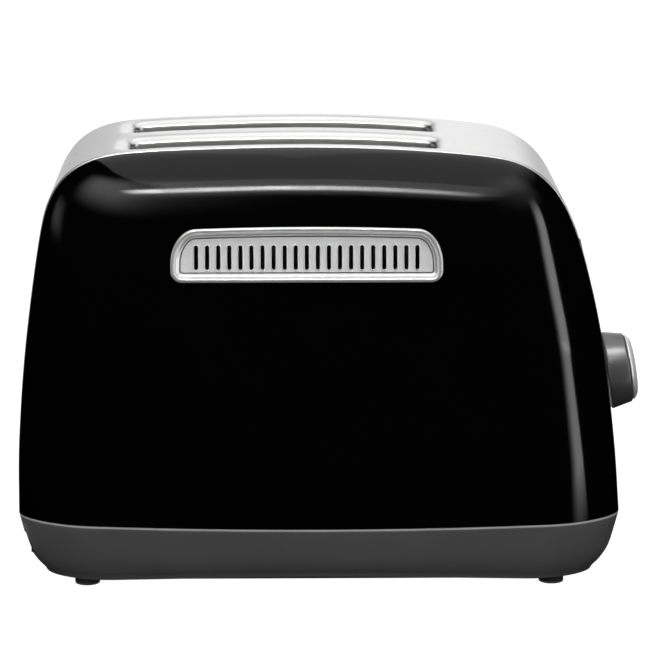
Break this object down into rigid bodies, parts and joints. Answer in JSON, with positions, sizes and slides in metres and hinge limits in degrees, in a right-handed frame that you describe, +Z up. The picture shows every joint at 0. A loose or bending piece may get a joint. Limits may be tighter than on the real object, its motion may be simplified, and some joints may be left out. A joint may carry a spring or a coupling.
{
  "type": "two-slot toaster",
  "caption": "Pop-up toaster with gloss side shells, a brushed metal band, slotted side vents, a round lift knob, push buttons, a browning dial and a pull-out crumb tray.",
  "frame": {"origin": "on the floor under the middle of the overall bounding box, knob included", "axes": "+X towards the end with the lift knob and the controls, +Y away from the pictured side, +Z up"},
  "size_m": [0.2982, 0.172, 0.2074],
  "materials": {
    "black_enamel": "gloss enamel",
    "brushed_steel": "brushed",
    "satin_steel": "satin",
    "chrome": "polished",
    "charcoal_plastic": "fine matte",
    "knob_plastic": "satin black",
    "foot_rubber": "matte",
    "plated_steel": "plated",
    "guard_steel": "plain",
    "spring_steel": "oiled",
    "mica_card": "matte",
    "copper_winding": "enamelled wire",
    "circuit_board": "satin",
    "terminal_ceramic": "matte"
  },
  "bodies": {
    "housing": {"near_shell": "black_enamel", "far_shell": "black_enamel", "near_vent_bezel": "chrome", "far_vent_bezel": "chrome", "near_vent_grille": "satin_steel", "far_vent_grille": "satin_steel", "top_band": "brushed_steel", "base": "charcoal_plastic", "foot_1": "foot_rubber", "foot_2": "foot_rubber", "foot_3": "foot_rubber", "foot_4": "foot_rubber", "base_screw_1": "plated_steel", "base_screw_2": "plated_steel", "base_screw_3": "plated_steel", "base_screw_4": "plated_steel", "cord_gland": "foot_rubber", "chassis_end_left": "plated_steel", "chassis_end_right": "plated_steel", "near_reflector": "plated_steel", "far_reflector": "plated_steel", "near_heater_card": "mica_card", "centre_heater_card": "mica_card", "far_heater_card": "mica_card", "near_slot_outer_guard": "guard_steel", "near_slot_inner_guard": "guard_steel", "far_slot_outer_guard": "guard_steel", "far_slot_inner_guard": "guard_steel", "guide_rod": "plated_steel", "lever_rod": "plated_steel", "lift_spring": "spring_steel", "hold_magnet": "plated_steel", "magnet_winding": "copper_winding", "control_bracket": "plated_steel", "control_board": "circuit_board", "cancel_switch": "knob_plastic", "defrost_switch": "knob_plastic", "reheat_switch": "knob_plastic", "bagel_switch": "knob_plastic", "browning_selector": "knob_plastic", "terminal_block": "terminal_ceramic"},
    "carriage": {"carriage_plate": "plated_steel", "near_bread_rack": "guard_steel", "far_bread_rack": "guard_steel", "armature_plate": "plated_steel"},
    "lever": {"lift_knob": "knob_plastic", "lift_knob_cap": "satin_steel", "lever_arm": "plated_steel"},
    "tray": {"crumb_tray": "plated_steel"},
    "cancel": {"cancel_button": "knob_plastic"},
    "defrost": {"defrost_button": "knob_plastic"},
    "reheat": {"reheat_button": "knob_plastic"},
    "bagel": {"bagel_button": "knob_plastic"},
    "dial": {"browning_dial": "knob_plastic"}
  },
  "joints": [
    {"name": "carriage_lift", "type": "slide", "parent": "housing", "child": "carriage", "axis": [0, 0, -1], "range_m": [0, 0.04478], "stiffness_N_per_m": 120, "springref_m": -0.03, "deforming": ["lift_spring"]},
    {"name": "lever_slide", "type": "slide", "parent": "housing", "child": "lever", "axis": [0.0976, 0, -0.9952], "range_m": [0, 0.045]},
    {"name": "tray_slide", "type": "slide", "parent": "housing", "child": "tray", "axis": [-1, 0, 0], "range_m": [0, 0.19]},
    {"name": "cancel_press", "type": "slide", "parent": "housing", "child": "cancel", "axis": [-1, 0, 0], "range_m": [0, 0.0015], "stiffness_N_per_m": 400, "springref_m": -0.002},
    {"name": "defrost_press", "type": "slide", "parent": "housing", "child": "defrost", "axis": [-1, 0, 0], "range_m": [0, 0.0015], "stiffness_N_per_m": 400, "springref_m": -0.002},
    {"name": "reheat_press", "type": "slide", "parent": "housing", "child": "reheat", "axis": [-1, 0, 0], "range_m": [0, 0.0015], "stiffness_N_per_m": 400, "springref_m": -0.002},
    {"name": "bagel_press", "type": "slide", "parent": "housing", "child": "bagel", "axis": [-1, 0, 0], "range_m": [0, 0.0015], "stiffness_N_per_m": 400, "springref_m": -0.002},
    {"name": "browning_turn", "type": "hinge", "parent": "housing", "child": "dial", "pos_m": [0.1213, 0, 0.14], "axis": [0.9732, 0, 0.23], "range_deg": [-135, 135]}
  ],
  "couplings": [
    {"joint": "lever_slide", "follows": "carriage_lift", "ratio": 1.0048}
  ]
}
